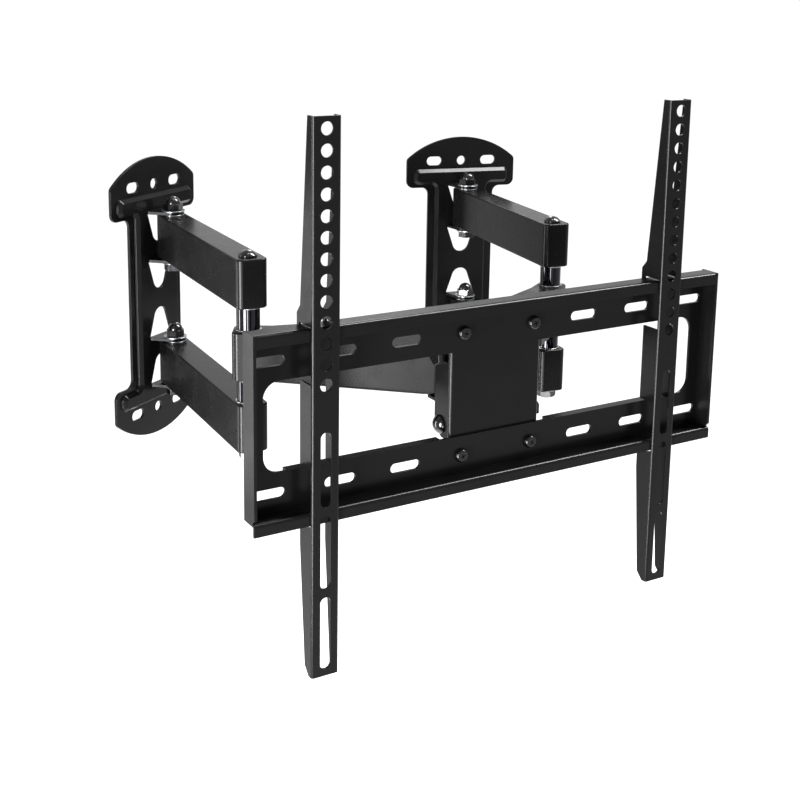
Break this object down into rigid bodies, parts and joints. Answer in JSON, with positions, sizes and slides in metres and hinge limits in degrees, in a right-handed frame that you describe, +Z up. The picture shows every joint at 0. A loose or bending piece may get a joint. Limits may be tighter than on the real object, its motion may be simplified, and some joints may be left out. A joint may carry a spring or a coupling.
{
  "type": "full motion tv wall mount",
  "caption": "Full motion TV wall mount: wall plates with eared pivots, paired box arms, tapered forearms, a swivel and tilt head, a pressed frame and sliding drilled uprights.",
  "frame": {"origin": "middle of the left wall plate's back face, level with the middle of the arms", "axes": "+X along the TV frame's rails to the right seen from the TV side, +Y from the TV frame to the wall side, +Z up"},
  "size_m": [0.5026, 0.4222, 0.4552],
  "materials": {
    "black_steel": "satin black powder coat",
    "black_fastener": "glossy black zinc and oil",
    "black_post": "polished black nickel",
    "nylon": "natural nylon",
    "sleeve_steel": "drawn steel tube",
    "zinc_washer": "zinc plate"
  },
  "bodies": {
    "left_wall": {"wall_plate_left": "black_steel", "wall_bolts_left": "black_fastener", "wall_cap_nuts_left": "black_fastener", "wall_washers_left": "zinc_washer"},
    "left_arm": {"upper_arm_left": "black_steel", "lower_arm_left": "black_steel", "arm_sleeves_left": "sleeve_steel", "elbow_bolt_left": "black_fastener", "elbow_nut_left": "black_fastener", "elbow_posts_left": "black_post", "elbow_washers_left": "zinc_washer"},
    "left_forearm": {"forearm_left": "black_steel", "forearm_sleeves_left": "sleeve_steel"},
    "head": {"swivel_head": "black_steel", "head_bolts": "black_fastener", "head_nuts": "black_fastener", "head_washers": "nylon", "tilt_lock_bolts": "black_fastener", "tilt_lock_nuts": "black_fastener"},
    "screen": {"tilt_bracket": "black_steel", "tilt_pivot_bolt": "black_fastener", "tilt_pivot_nut": "black_fastener", "tv_frame": "black_steel", "rail_bolts": "black_fastener", "rail_nuts": "black_fastener"},
    "left_upright": {"upright_left": "black_steel"},
    "right_upright": {"upright_right": "black_steel"},
    "right_forearm": {"forearm_right": "black_steel", "forearm_sleeves_right": "sleeve_steel"},
    "right_arm": {"upper_arm_right": "black_steel", "lower_arm_right": "black_steel", "arm_sleeves_right": "sleeve_steel", "elbow_bolt_right": "black_fastener", "elbow_nut_right": "black_fastener", "elbow_posts_right": "black_post", "elbow_washers_right": "zinc_washer"},
    "right_wall": {"wall_plate_right": "black_steel", "wall_bolts_right": "black_fastener", "wall_cap_nuts_right": "black_fastener", "wall_washers_right": "zinc_washer"}
  },
  "joints": [
    {"name": "left_wall_hinge", "type": "hinge", "parent": "left_wall", "child": "left_arm", "pos_m": [0.01389, -0.02198, 0], "axis": [0, 0, -1], "range_deg": [-50, 50]},
    {"name": "left_elbow", "type": "hinge", "parent": "left_arm", "child": "left_forearm", "pos_m": [0.00212, -0.23265, 0], "axis": [0, 0, 1], "range_deg": [-50, 44]},
    {"name": "left_head_hinge", "type": "hinge", "parent": "left_forearm", "child": "head", "pos_m": [0.15277, -0.31789, 0], "axis": [0, 0, -1], "range_deg": [-15, 29]},
    {"name": "tilt", "type": "hinge", "parent": "head", "child": "screen", "pos_m": [0.17477, -0.34889, -0.05], "axis": [1, 0, 0], "range_deg": [-5, 15]},
    {"name": "left_upright_slide", "type": "slide", "parent": "screen", "child": "left_upright", "axis": [1, 0, 0], "range_m": [-0.025, 0.075]},
    {"name": "right_upright_slide", "type": "slide", "parent": "screen", "child": "right_upright", "axis": [1, 0, 0], "range_m": [-0.075, 0.025]},
    {"name": "right_head_hinge", "type": "hinge", "parent": "head", "child": "right_forearm", "pos_m": [0.19677, -0.31789, 0], "axis": [0, 0, -1], "range_deg": [-15, 34]},
    {"name": "right_elbow", "type": "hinge", "parent": "right_forearm", "child": "right_arm", "pos_m": [0.33874, -0.21885, 0], "axis": [0, 0, 1], "range_deg": [-50, 44]},
    {"name": "right_wall_hinge", "type": "hinge", "parent": "right_arm", "child": "right_wall", "pos_m": [0.37248, -0.01056, 0], "axis": [0, 0, -1], "range_deg": [-50, 50]}
  ]
}
